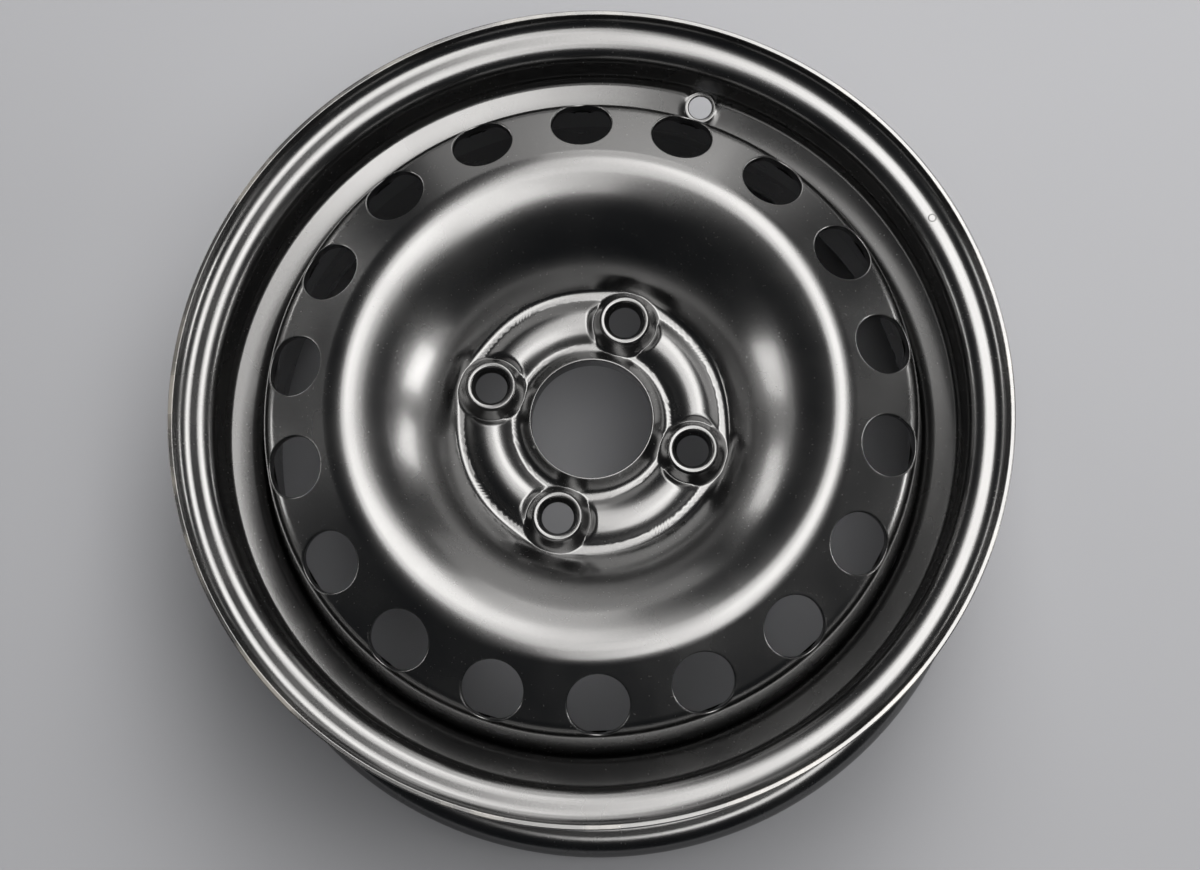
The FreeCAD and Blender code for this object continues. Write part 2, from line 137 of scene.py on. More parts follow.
class Sheetwork:
    """Collects grids of faces with their own smooth normals, and makes one mesh of them."""

    def __init__(self):
        self.places = []
        self.numbers = {}
        self.faces = []
        self.normals = []

    def corner(self, place):
        key = tuple(round(value, 4) for value in place)
        if key not in self.numbers:
            self.numbers[key] = len(self.places)
            self.places.append(place)
        return self.numbers[key]

    def add(self, grid, normals, closed=False, keep=None):
        """Add a grid of quads; closed joins the last column to the first, keep says which quads stay."""
        rows, columns = grid.shape[:2]
        numbers = [[self.corner(place) for place in row] for row in grid.tolist()]
        spans = columns if closed else columns - 1
        slant = np.cross(grid[1:, :-1] - grid[:-1, 1:], grid[1:, 1:] - grid[:-1, :-1])
        facing = np.sum(slant * normals[:-1, :-1])
        for row in range(rows - 1):
            for column in range(spans):
                if keep is not None and not keep(row, column):
                    continue
                beside = (column + 1) % columns
                ring = [(row, column), (row + 1, column), (row + 1, beside), (row, beside)]
                if facing < 0:
                    ring.reverse()
                used = []
                for spot in ring:
                    number = numbers[spot[0]][spot[1]]
                    if number not in [known for known, _ in used]:
                        used.append((number, spot))
                if len(used) > 2:
                    self.faces.append([number for number, _ in used])
                    self.normals.extend(normals[spot[0], spot[1]] for _, spot in used)

    def piece(self, name, material):
        """The mesh as an object in metres, lifted from the rim's centre plane to the frame."""
        mesh = bpy.data.meshes.new(name)
        places = np.array(self.places) * MM + np.array([0, 0, CENTRE_UP])
        mesh.from_pydata(places.tolist(), [], self.faces)
        mesh.polygons.foreach_set("use_smooth", [True] * len(self.faces))
        mesh.normals_split_custom_set([tuple(normal) for normal in self.normals])
        mesh.materials.append(material)
        mesh.update()
        made = bpy.data.objects.new(name, mesh)
        bpy.context.scene.collection.objects.link(made)
        return made


def rounded_edge(first, second, first_normal, second_normal, upward):
    """The cut edge of a sheet between two points of its faces, facing up or down, with broken arrises."""
    across = unit(second - first) * EDGE_SOFT
    out = np.array([0.0, upward])
    chamfer = out * EDGE_SOFT * 0.6
    top = out * EDGE_SOFT
    points = [first, first + across * 0.4 + chamfer, first + across * 1.4 + top]
    points += [second - across * 1.4 + top, second - across * 0.4 + chamfer, second]
    normals = [first_normal, unit(first_normal + out), out, out, unit(second_normal + out), second_normal]
    return np.array(points), np.array(normals)


rim_face, rim_normals, _ = sheet_face([
    (FLANGE_RADIUS, LIP_END - EDGE_SOFT, 0),
    (FLANGE_RADIUS, HALF_WIDTH, CURL_BEND),
    (BEAD_RADIUS, HALF_WIDTH, 6.5),
    (*SEAT_FOOT, 8.0),
    (*HUMP, 6.0),
    (*SHOULDER, 6.0),
    (WELL_RADIUS, WELL_UP, 7.0),
    (WELL_RADIUS, WELL_INBOARD, 10.0),
    (HUMP[0], -HUMP[1], 6.0),
    (SEAT_FOOT[0], -SEAT_FOOT[1], 8.0),
    (BEAD_RADIUS, -HALF_WIDTH, 6.5),
    (FLANGE_RADIUS, -HALF_WIDTH, CURL_BEND),
    (FLANGE_RADIUS, EDGE_SOFT - LIP_END, 0),
])
rim_back = rim_face - rim_normals * RIM_GAUGE
VALVE_PLACE = 168.0
VALVE_HOLE = 5.65
VALVE_FLAT = 7.9
VALVE_STEP = 0.8
VALVE_TILT = math.radians(12)
VALVE_PROUD = 0.3
VALVE_HALF_SPAN = 5
round_angles = np.arange(FACETS) * 2 * math.pi / FACETS
half_span = VALVE_HALF_SPAN * 2 * math.pi / FACETS
wall_slope = (SHOULDER[1] - WELL_UP) / (SHOULDER[0] - WELL_RADIUS)
wall_up = SHOULDER[1] - (SHOULDER[0] - VALVE_PLACE) * wall_slope
flat_up = wall_up + RIM_GAUGE * math.hypot(1, wall_slope) + VALVE_PROUD
flat_centre = np.array([0.0, VALVE_PLACE, flat_up])
flat_out = np.array([0.0, -math.sin(VALVE_TILT), math.cos(VALVE_TILT)])
flat_along = np.array([0.0, math.cos(VALVE_TILT), math.sin(VALVE_TILT)])
flat_side = np.array([1.0, 0.0, 0.0])
on_wall = (rim_face[:, 1] < HUMP[1]) & (rim_face[:, 1] > WELL_UP - 3)
wall_first, wall_last = np.flatnonzero(on_wall)[[0, -1]]
side_angles = np.linspace(-half_span, half_span, 2 * VALVE_HALF_SPAN + 1)


def patch_border(section, first, last, angles):
    """The border of a window in a turned surface, once round, as section places and angles."""
    rows = np.arange(first, last + 1)
    far_side = np.full(len(angles) - 1, last)
    places = np.concatenate([np.full(len(angles), first), rows[1:], far_side, rows[-2:0:-1]])
    turns = np.concatenate([angles, np.full(len(rows) - 1, angles[-1]), angles[-2::-1],
                            np.full(len(rows) - 2, angles[0])])
    return at_angles(section[places, 0], section[places, 1], turns), places, turns


def valve_window(section, normals, side):
    """Rings from the valve hole's edge out to the window's border, on one face of the sheet."""
    border, places, turns = patch_border(section, wall_first, wall_last, side_angles)
    centre = flat_centre - (RIM_GAUGE * flat_out if side < 0 else 0)
    offset = border - centre
    bearing = np.arctan2(offset @ flat_along, offset @ flat_side)
    spokes = np.outer(np.cos(bearing), flat_side) + np.outer(np.sin(bearing), flat_along)
    rings = [centre + VALVE_HOLE * spokes - side * flat_out * EDGE_ROUND]
    for reach in (VALVE_HOLE + 0.2, VALVE_HOLE + EDGE_ROUND, VALVE_FLAT - 0.7, VALVE_FLAT):
        sink = EDGE_ROUND * 0.3 if reach == VALVE_HOLE + 0.2 else 0
        rings.append(centre + reach * spokes - side * sink * flat_out)
    known = section[wall_first:wall_last + 1][::-1]
    known_slopes = normals[wall_first:wall_last + 1][::-1]
    wall_slopes = []
    near = centre + (VALVE_FLAT + VALVE_STEP) * spokes
    for share in (0.0, 0.25, 0.5, 0.75, 1.0):
        spot = near + (border - near) * share
        reach = np.hypot(spot[:, 0], spot[:, 1])
        bearing = np.arctan2(spot[:, 0], spot[:, 1])
        if share < 1:
            spot[:, 2] = np.interp(reach, known[:, 0], known[:, 1])
        outward, upward = (np.interp(reach, known[:, 0], known_slopes[:, column]) for column in (0, 1))
        wall_slopes.append(at_angles(outward, upward, bearing) * -side)
        rings.append(spot)
    rings = np.array(rings)
    slopes = loop_normals(rings)
    if np.sum(slopes[2] @ flat_out) * side < 0:
        slopes = -slopes
    slopes[-len(wall_slopes) + 1:] = wall_slopes[1:]
    return rings, slopes


rim_work = Sheetwork()
window = set(range(-VALVE_HALF_SPAN, VALVE_HALF_SPAN))


def outside_window(row, column):
    """Whether a quad of the rim lies clear of the valve hole's window."""
    turn = column if column < FACETS / 2 else column - FACETS
    return not (wall_first <= row < wall_last and turn in window)


for section, sign in ((rim_face, 1), (rim_back, -1)):
    grid, slopes = spin_round(section, rim_normals * sign, round_angles)
    rim_work.add(grid, slopes, closed=True, keep=outside_window)
outer_rings, outer_slopes = valve_window(rim_back, rim_normals, 1)
inner_rings, inner_slopes = valve_window(rim_face, rim_normals, -1)
rim_work.add(outer_rings, outer_slopes, closed=True)
rim_work.add(inner_rings, inner_slopes, closed=True)
hole_wall = np.array([outer_rings[0], inner_rings[0]])
hole_middle = flat_centre - flat_out * RIM_GAUGE / 2
hole_slopes = hole_middle - hole_wall
hole_slopes -= (hole_slopes @ flat_out)[..., None] * flat_out
rim_work.add(hole_wall, hole_slopes / VALVE_HOLE, closed=True)
for end, upward in ((0, 1.0), (-1, -1.0)):
    edge = rounded_edge(rim_face[end], rim_back[end], rim_normals[end], -rim_normals[end], upward)
    rim_work.add(*spin_round(*edge, round_angles), closed=True)

FRESH_BLACK = (0.002, 0.002, 0.0022, 1)
DULL_BLACK = (0.004, 0.0039, 0.0037, 1)
DUST = (0.30, 0.29, 0.27, 1)
WORN_STEEL = (0.42, 0.39, 0.34, 1)
PAINT_ROUGHNESS = (0.23, 0.29)
DUST_ROUGHNESS = 0.3
WEAR_DEPTH = 0.0006
LIP_WEAR = 0.35
paint_effects = bpy.data.node_groups.new("dip paint effects", "ShaderNodeTree")
for name in ("Dust", "Wear From"):
    paint_effects.interface.new_socket(name, in_out="INPUT", socket_type="NodeSocketFloat")
paint_effects.interface.new_socket("Color", in_out="OUTPUT", socket_type="NodeSocketColor")
for name in ("Roughness", "Height"):
    paint_effects.interface.new_socket(name, in_out="OUTPUT", socket_type="NodeSocketFloat")
tree = paint_effects
group_in = tree.nodes.new("NodeGroupInput")
group_out = tree.nodes.new("NodeGroupOutput")
place = tree.nodes.new("ShaderNodeTexCoord")


def noise_node(scale, detail):
    """A noise texture on the object's own coordinates, in the paint's node group."""
    node = tree.nodes.new("ShaderNodeTexNoise")
    node.inputs["Scale"].default_value = scale
    node.inputs["Detail"].default_value = detail
    tree.links.new(place.outputs["Object"], node.inputs["Vector"])
    return node


def range_node(source, low, high, first, last):
    """A clamped change of range, in the paint's node group."""
    node = tree.nodes.new("ShaderNodeMapRange")
    values = (("From Min", low), ("From Max", high), ("To Min", first), ("To Max", last))
    for name, amount in values:
        if isinstance(amount, bpy.types.NodeSocket):
            tree.links.new(amount, node.inputs[name])
        else:
            node.inputs[name].default_value = amount
    tree.links.new(source, node.inputs["Value"])
    return node.outputs["Result"]


def math_node(operation, first, second):
    """A sum or product of two values, in the paint's node group."""
    node = tree.nodes.new("ShaderNodeMath")
    node.operation = operation
    for index, amount in enumerate((first, second)):
        if isinstance(amount, bpy.types.NodeSocket):
            tree.links.new(amount, node.inputs[index])
        else:
            node.inputs[index].default_value = amount
    return node.outputs[0]


def mix_node(share, first, second):
    """A mix of two colours, in the paint's node group."""
    node = tree.nodes.new("ShaderNodeMix")
    node.data_type = "RGBA"
    tree.links.new(share, node.inputs[0])
    for index, colour in ((6, first), (7, second)):
        if isinstance(colour, bpy.types.NodeSocket):
            tree.links.new(colour, node.inputs[index])
        else:
            node.inputs[index].default_value = colour
    return node.outputs[2]


fine = noise_node(900.0, 2.0).outputs["Fac"]
patches = noise_node(28.0, 4.0).outputs["Fac"]
specks = noise_node(800.0, 1.0).outputs["Fac"]
speck_mask = math_node("MULTIPLY", range_node(specks, 0.72, 0.78, 0.0, 1.0), group_in.outputs["Dust"])
split = tree.nodes.new("ShaderNodeSeparateXYZ")
tree.links.new(place.outputs["Object"], split.inputs["Vector"])
far_up = math_node("ABSOLUTE", math_node("SUBTRACT", split.outputs["Z"], CENTRE_UP), 0.0)
edge_full = math_node("ADD", group_in.outputs["Wear From"], WEAR_DEPTH)
edge_mask = range_node(far_up, group_in.outputs["Wear From"], edge_full, 0.0, 1.0)
wear_mask = math_node("MULTIPLY", edge_mask, range_node(patches, 0.46, 0.62, 0.05, 1.0))
dulled = mix_node(range_node(patches, 0.35, 0.7, 0.0, 1.0), FRESH_BLACK, DULL_BLACK)
dusted = mix_node(speck_mask, dulled, DUST)
tree.links.new(mix_node(wear_mask, dusted, WORN_STEEL), group_out.inputs["Color"])
sheen = range_node(patches, 0.3, 0.7, *PAINT_ROUGHNESS)
rough = math_node("ADD", sheen, math_node("MULTIPLY", speck_mask, DUST_ROUGHNESS))
tree.links.new(rough, group_out.inputs["Roughness"])
tree.links.new(fine, group_out.inputs["Height"])


def black_paint(name, dust, wear_from):
    """Satin black dip paint, with some dust and with bare metal showing past the given height."""
    paint = bpy.data.materials.new(name)
    paint.use_nodes = True
    nodes, links = paint.node_tree.nodes, paint.node_tree.links
    shader = nodes["Principled BSDF"]
    effects = nodes.new("ShaderNodeGroup")
    effects.node_tree = paint_effects
    effects.inputs["Dust"].default_value = dust
    effects.inputs["Wear From"].default_value = wear_from
    bump = nodes.new("ShaderNodeBump")
    bump.inputs["Strength"].default_value = 0.025
    bump.inputs["Distance"].default_value = 0.0004
    links.new(effects.outputs["Color"], shader.inputs["Base Color"])
    links.new(effects.outputs["Roughness"], shader.inputs["Roughness"])
    links.new(effects.outputs["Height"], bump.inputs["Height"])
    links.new(bump.outputs["Normal"], shader.inputs["Normal"])
    shader.inputs["IOR"].default_value = 2.35
    shader.inputs["Coat Weight"].default_value = 0.3
    shader.inputs["Coat Roughness"].default_value = 0.12
    shader.inputs["Coat IOR"].default_value = 1.7
    return paint


rim_paint = black_paint("rim paint", 0.12, (LIP_END - LIP_WEAR) * MM)
rim_piece = rim_work.piece("rolled_rim", rim_paint)
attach(rim_piece, "root")
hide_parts("rim")


# Disc: one pressing of 3.6 mm steel sheet, pushed into the rim's well and welded there, in the same paint.
# A ribbed hub pad carries the turned bore lip and four bossed bolt holes; round it rise the dish and crest.
# Eighteen vent holes are punched through the sloping band, and the skirt sits in the well.
DISC_GAUGE = 3.6
PAD_UP = 38.6
BORE = 28.55
LIP_TOP = 6.0
LIP_FOOT = 36.0
FOOT_ARC = 62.19
FOOT_BEND = 4.0
DISH_SLOPE = math.radians(53)
HUB_EDGE = 72.0
VENT_RADIUS = 14.2
VENT_COUNT = 18
VENT_SLOPE = math.radians(25)
VENT_AT = (139.2, 69.0)
SKIRT_RADIUS = WELL_RADIUS - RIM_GAUGE - 0.1
BOLT_CIRCLE = 50.0
BOLT_COUNT = 4
BOLT_HOLE = 7.5
BOSS_TOP = 8.8
COLLAR_OUTSIDE = 11.75
COLLAR_SIDE = 8.2
BOSS_FOOT = 17.6
LAND_MIDDLE = 49.0
LAND_HALF = 11.4
LAND_HEIGHT = 3.6
BLEND = 0.5
LAND_FADE = (12.5, 19.0)
LOBE_REACH = 2.6
LOBE_WIDTH = 13.0
LOBE_END = 64.0
LIP_ROUND = 0.9
BAND_EDGE = 152.0
SKIRT_END = 2.0
VENT_EDGE = 0.9
SECTOR_POINTS = 72
SIDE_POINTS = 28


def ease(low, high, value):
    """A smooth step from 0 at low to 1 at high."""
    share = np.clip((value - low) / (high - low), 0, 1)
    return share ** 3 * (share * (6 * share - 15) + 10)


def dish_rise(radius, bend):
    """Height of the dish over the hub pad, for the given bend at its foot."""
    run = np.clip(radius - FOOT_ARC, 0, bend * math.sin(DISH_SLOPE))
    straight = np.maximum(radius - FOOT_ARC - bend * math.sin(DISH_SLOPE), 0)
    return bend - np.sqrt(bend ** 2 - run ** 2) + straight * math.tan(DISH_SLOPE)


def hub_height(across, along):
    """Outboard face of the hub: lip, land, bosses and the lobed foot of the dish, over the pad."""
    radius = np.hypot(across, along)
    step = 2 * math.pi / BOLT_COUNT
    bearing = (np.arctan2(across, along) + step / 2) % step - step / 2
    beside = radius * np.sin(bearing)
    reach = np.hypot(beside, radius * np.cos(bearing) - BOLT_CIRCLE)
    lobe = LOBE_REACH * np.exp(-(beside / LOBE_WIDTH) ** 2) * (1 - ease(LOBE_END, HUB_EDGE, radius))
    dish = dish_rise(radius - lobe, FOOT_BEND)
    lip = LIP_TOP * np.clip((LIP_FOOT - radius) / (LIP_FOOT - BORE - LIP_ROUND), 0, 1) ** 1.8
    aside = np.clip(np.abs(radius - LAND_MIDDLE) / LAND_HALF, 0, 1)
    crown = (1 - aside ** 2.6) ** 1.5
    land = LAND_HEIGHT * crown * ease(*LAND_FADE, reach)
    flare = COLLAR_SIDE * np.clip((BOSS_FOOT - reach) / (BOSS_FOOT - COLLAR_OUTSIDE), 0, 1) ** 2
    ground = dish + lip + land
    over = np.maximum(flare - ground, 0)
    softening = BLEND * ease(COLLAR_OUTSIDE, COLLAR_OUTSIDE + 1.0, reach)
    return ground + over ** 2 / (over + softening + 1e-9)


def pad_under(across, along):
    """Inboard face of the hub, over the pad's outboard face."""
    return dish_rise(np.hypot(across, along), FOOT_BEND + DISC_GAUGE) - DISC_GAUGE


def height_slopes(height, across, along):
    """Normals of a height field, from its slopes."""
    small = 0.01
    right = (height(across + small, along) - height(across - small, along)) / (2 * small)
    ahead = (height(across, along + small) - height(across, along - small)) / (2 * small)
    normals = np.stack([-right, -ahead, np.ones_like(right)], axis=-1)
    return normals / np.linalg.norm(normals, axis=-1, keepdims=True)


def hub_sector(height, inner, outer, ring_radii, curve, side):
    """One bolt's quarter of the hub: a turned curve at the hole, then rings out to the quarter's border."""
    edge = math.pi / BOLT_COUNT
    arc = np.linspace(-edge, edge, SECTOR_POINTS + 1)
    spoke = np.linspace(outer, inner, SIDE_POINTS + 1)
    other_side = np.full(SIDE_POINTS - 1, -edge)
    angles = np.concatenate([arc, np.full(SIDE_POINTS, edge), arc[-2::-1], other_side])
    inner_arc = np.full(len(arc) - 1, inner)
    radii = np.concatenate([np.full(len(arc), outer), spoke[1:], inner_arc, spoke[-2:0:-1]])
    border = np.stack([radii * np.sin(angles), radii * np.cos(angles)], axis=1)
    offset = border - np.array([0, BOLT_CIRCLE])
    bearing = np.arctan2(offset[:, 0], offset[:, 1])
    aim = np.stack([np.sin(bearing), np.cos(bearing)], axis=1)
    centre = np.array([0, BOLT_CIRCLE])
    rings, slopes = [], []
    tangents = np.gradient(curve, axis=0)
    for (reach, level), (run, rise) in zip(curve, tangents):
        length = math.hypot(run, rise)
        rings.append(np.column_stack([centre + reach * aim, np.full(len(aim), level)]))
        slopes.append(np.column_stack([aim * -rise / length, np.full(len(aim), run / length)]) * side)
    flats = [centre + reach * aim for reach in ring_radii]
    last = flats[-1]
    flats += [last + (border - last) * share for share in np.linspace(0, 1, 15)[1:]]
    for flat in flats:
        rings.append(np.column_stack([flat, height(flat[:, 0], flat[:, 1])]))
        slopes.append(height_slopes(height, flat[:, 0], flat[:, 1]) * side)
    return np.array(rings), np.array(slopes)


def quarter_turned(points, quarter):
    """The points turned about the axis by so many bolt steps."""
    angle = quarter * 2 * math.pi / BOLT_COUNT
    sine, cosine = math.sin(angle), math.cos(angle)
    turned = points.copy()
    turned[..., 0] = points[..., 0] * cosine + points[..., 1] * sine
    turned[..., 1] = points[..., 1] * cosine - points[..., 0] * sine
    return turned


disc_work = Sheetwork()
pad_lift = np.array([0, 0, PAD_UP])
lip_inside = BORE + LIP_ROUND
hub_back_edge = HUB_EDGE + DISC_GAUGE * math.sin(DISH_SLOPE)
collar = np.array([(BOLT_HOLE, 4.0), (BOLT_HOLE, 4.6), (7.6, 5.0), (7.9, 5.5), (8.4, 6.4), (8.9, 7.6),
                   (9.2, 8.25), (9.5, 8.6), (9.9, 8.72), (10.8, BOSS_TOP), (11.2, 8.74), (11.52, 8.52),
                   (COLLAR_OUTSIDE, COLLAR_SIDE)])
hollow = np.array([(BOLT_HOLE, 4.0), (7.9, 4.0), (8.3, 3.9), (8.6, 3.3), (9.6, 0.2), (10.5, -2.6),
                   (11.1, -3.4)])
front_rings = np.array([12.2, 12.7, 13.2, 13.8, 14.4, 15.0, 15.6, 16.2, 16.8, 17.4])
front = hub_sector(hub_height, lip_inside, HUB_EDGE, front_rings, collar, 1)
under = hub_sector(pad_under, BORE, hub_back_edge, np.array([11.8, 13.0, 15.0]), hollow, -1)
for quarter in range(BOLT_COUNT):
    for rings, slopes in (front, under):
        places = quarter_turned(rings, quarter) + pad_lift
        disc_work.add(places, quarter_turned(slopes, quarter), closed=True)
bore_edge = np.array([(BORE, -DISC_GAUGE), (BORE, 0), (BORE, LIP_TOP - 0.5), (BORE + 0.2, LIP_TOP - 0.1),
                      (BORE + 0.5, LIP_TOP), (lip_inside, LIP_TOP)])
bore_slopes = np.array([(-1, 0), (-1, 0), (-1, 0), (-0.7, 0.7), (0, 1), (0.5, 0.87)])
disc_work.add(*spin_round(bore_edge + [0, PAD_UP], bore_slopes, round_angles), closed=True)

band_fall = math.tan(VENT_SLOPE)
dish_start = PAD_UP + float(dish_rise(np.array(HUB_EDGE), FOOT_BEND))
disc_face, disc_normals, disc_run = sheet_face([
    (HUB_EDGE, dish_start, 0),
    (80.97, 60.87, 98.0),
    (100.98, 75.42, 49.5),
    (116.9, 79.39, 18.7),
    (BAND_EDGE, VENT_AT[1] - (BAND_EDGE - VENT_AT[0]) * band_fall, 10.0),
    (SKIRT_RADIUS, WELL_UP, 12.0),
    (SKIRT_RADIUS, SKIRT_END + EDGE_SOFT, 0),
])
disc_back = disc_face - disc_normals * DISC_GAUGE
vent_axis = np.array([0.0, math.sin(VENT_SLOPE), math.cos(VENT_SLOPE)])
cell_angles = np.linspace(-math.pi / VENT_COUNT, math.pi / VENT_COUNT, FACETS // VENT_COUNT + 1)


def vent_ring(section, radius, bearings):
    """Where a punch of the given radius cuts one face of the band, as running length and angle."""
    run = np.interp(VENT_AT[0], section[:, 0], disc_run) + radius * np.sin(bearings)
    for _ in range(40):
        reach = np.interp(run, disc_run, section[:, 0])
        level = np.interp(run, disc_run, section[:, 1])
        angle = np.arcsin(radius * np.cos(bearings) / reach)
        outward = reach * np.cos(angle) - VENT_AT[0]
        down = outward * math.cos(VENT_SLOPE) - (level - VENT_AT[1]) * math.sin(VENT_SLOPE)
        run = run + 0.8 * (radius * np.sin(bearings) - down)
    return run, angle


def on_sheet(section, normals, run, angle):
    """Places and normals on one face of the disc, from running length and angle."""
    reach, level = (np.interp(run, disc_run, section[:, column]) for column in (0, 1))
    outward, upward = (np.interp(run, disc_run, normals[:, column]) for column in (0, 1))
    return at_angles(reach, level, angle), at_angles(outward, upward, angle)


VENT_MARGINS = (3.0, 2.5)
vent_ends, _ = vent_ring(disc_face, VENT_RADIUS, np.array([-math.pi / 2, math.pi / 2]))
window_first = np.searchsorted(disc_run, vent_ends[0] - VENT_MARGINS[0])
window_last = np.searchsorted(disc_run, vent_ends[1] + VENT_MARGINS[1])
vent_rims = []
for section, sign in ((disc_face, 1), (disc_back, -1)):
    grid, slopes = spin_round(section, disc_normals * sign, round_angles)
    disc_work.add(grid, slopes, closed=True, keep=lambda row, column: not window_first <= row < window_last)
    _, rows, turns = patch_border(section, window_first, window_last, cell_angles)
    middle = np.interp(VENT_AT[0], section[:, 0], disc_run)
    bearings = np.arctan2(disc_run[rows] - middle, VENT_AT[0] * turns)
    rings, slopes = [], []
    first_run, first_angle = vent_ring(section, VENT_RADIUS + VENT_EDGE, bearings)
    for share in np.linspace(0, 1, 7):
        run = first_run + (disc_run[rows] - first_run) * share
        angle = first_angle + (turns - first_angle) * share
        place, slope = on_sheet(section, disc_normals * sign, run, angle)
        rings.append(place)
        slopes.append(slope)
    inward = []
    for wider, sink in ((VENT_EDGE * 0.3, VENT_EDGE * 0.3), (0.0, VENT_EDGE)):
        cut = vent_ring(section, VENT_RADIUS + wider, bearings)
        place, _ = on_sheet(section, disc_normals * sign, *cut)
        inward.append(place - sign * sink * vent_axis)
    away = np.array([0.0, VENT_AT[0], VENT_AT[1]]) - inward[1]
    away -= (away @ vent_axis)[:, None] * vent_axis
    away /= np.linalg.norm(away, axis=1, keepdims=True)
    mixed = slopes[0] + away
    rings = [inward[1], inward[0]] + rings
    slopes = [away, mixed / np.linalg.norm(mixed, axis=1, keepdims=True)] + slopes
    vent_rims.append((np.array(rings), np.array(slopes)))
walls = np.array([vent_rims[0][0][0], vent_rims[1][0][0]])
vent_rims.append((walls, np.array([vent_rims[0][1][0], vent_rims[1][1][0]])))
for vent in range(VENT_COUNT):
    angle = vent * 2 * math.pi / VENT_COUNT
    sine, cosine = math.sin(angle), math.cos(angle)
    turn = np.array([[cosine, -sine, 0], [sine, cosine, 0], [0, 0, 1]])
    for rings, slopes in vent_rims:
        disc_work.add(rings @ turn, slopes @ turn, closed=True)
skirt_edge = rounded_edge(disc_face[-1], disc_back[-1], disc_normals[-1], -disc_normals[-1], -1.0)
disc_work.add(*spin_round(*skirt_edge, round_angles), closed=True)

disc_paint = black_paint("disc paint", 0.12, 1.0)
disc_piece = disc_work.piece("pressed_disc", disc_paint)
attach(disc_piece, "root")
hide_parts("disc")


# Weld beads: eight runs of arc weld between the edge of the disc's skirt and the rim's well.
# Each bead is laid in overlapping ripples and goes under the same black paint.
WELD_COUNT = 8
WELD_ANGLE = math.radians(22)
WELD_START = math.radians(11.5)
WELD_LEG = 3.4
RIPPLES = 20
RIPPLE_HEIGHT = 0.06
weld_work = Sheetwork()
weld_turns = np.linspace(-WELD_ANGLE / 2, WELD_ANGLE / 2, RIPPLES * 4 + 1)
fullness = np.sqrt(np.clip(1 - (2 * weld_turns / WELD_ANGLE) ** 8, 0.02, 1))
ripple = 1 + RIPPLE_HEIGHT * np.cos(np.arange(len(weld_turns)) * math.pi / 2)
round_bead = np.linspace(0, math.pi / 2, 9)
legs = WELD_LEG * fullness * ripple
bead_radii = SKIRT_RADIUS - np.outer(np.cos(round_bead), legs)
bead_heights = SKIRT_END - np.outer(np.sin(round_bead), legs)
root_radii = np.vstack([np.full_like(bead_radii[:1], SKIRT_RADIUS), bead_radii,
                        np.full_like(bead_radii[:1], SKIRT_RADIUS)])
root_heights = np.vstack([np.full_like(legs, SKIRT_END), bead_heights, np.full_like(legs, SKIRT_END)])
bead_grid = at_angles(root_radii, root_heights, np.broadcast_to(weld_turns, root_radii.shape))
bead_slopes = np.cross(np.gradient(bead_grid, axis=1), np.gradient(bead_grid, axis=0))
bead_slopes /= np.maximum(np.linalg.norm(bead_slopes, axis=2, keepdims=True), 1e-9)
if np.sum(bead_slopes[5, :, 2]) > 0:
    bead_slopes = -bead_slopes
weld_work.add(bead_grid, bead_slopes)
weld_paint = black_paint("weld paint", 0.2, 1.0)
bead = weld_work.piece("weld_bead", weld_paint)

repeat = bpy.data.node_groups.new("beads round the well", "GeometryNodeTree")
repeat.interface.new_socket("Geometry", in_out="INPUT", socket_type="NodeSocketGeometry")
count_socket = repeat.interface.new_socket("Count", in_out="INPUT", socket_type="NodeSocketInt")
start_socket = repeat.interface.new_socket("Start", in_out="INPUT", socket_type="NodeSocketFloat")
paint_socket = repeat.interface.new_socket("Paint", in_out="INPUT", socket_type="NodeSocketMaterial")
repeat.interface.new_socket("Geometry", in_out="OUTPUT", socket_type="NodeSocketGeometry")
repeat_in = repeat.nodes.new("NodeGroupInput")
repeat_out = repeat.nodes.new("NodeGroupOutput")
points = repeat.nodes.new("GeometryNodePoints")
spread = repeat.nodes.new("GeometryNodeInstanceOnPoints")
index = repeat.nodes.new("GeometryNodeInputIndex")
share = repeat.nodes.new("ShaderNodeMath")
share.operation = "DIVIDE"
angle = repeat.nodes.new("ShaderNodeMath")
angle.operation = "MULTIPLY_ADD"
angle.inputs[1].default_value = -2 * math.pi
about_axis = repeat.nodes.new("ShaderNodeCombineXYZ")
real = repeat.nodes.new("GeometryNodeRealizeInstances")
painted = repeat.nodes.new("GeometryNodeSetMaterial")
repeat.links.new(repeat_in.outputs["Count"], points.inputs["Count"])
repeat.links.new(index.outputs["Index"], share.inputs[0])
repeat.links.new(repeat_in.outputs["Count"], share.inputs[1])
repeat.links.new(share.outputs[0], angle.inputs[0])
repeat.links.new(repeat_in.outputs["Start"], angle.inputs[2])
repeat.links.new(angle.outputs[0], about_axis.inputs["Z"])
repeat.links.new(points.outputs["Points"], spread.inputs["Points"])
repeat.links.new(repeat_in.outputs["Geometry"], spread.inputs["Instance"])
repeat.links.new(about_axis.outputs[0], spread.inputs["Rotation"])
repeat.links.new(spread.outputs["Instances"], real.inputs["Geometry"])
repeat.links.new(real.outputs["Geometry"], painted.inputs["Geometry"])
repeat.links.new(repeat_in.outputs["Paint"], painted.inputs["Material"])
repeat.links.new(painted.outputs["Geometry"], repeat_out.inputs["Geometry"])
maker = bead.modifiers.new("beads", "NODES")
maker.node_group = repeat
maker[count_socket.identifier] = WELD_COUNT
maker[start_socket.identifier] = -WELD_START - WELD_ANGLE / 2
maker[paint_socket.identifier] = weld_paint
bpy.context.view_layer.update()
seen = bead.evaluated_get(bpy.context.evaluated_depsgraph_get())
all_beads = bpy.data.meshes.new_from_object(seen)
bead.modifiers.remove(maker)
bead.data = all_beads
bead.name = "weld_beads"
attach(bead, "root")
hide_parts("disc_welds")


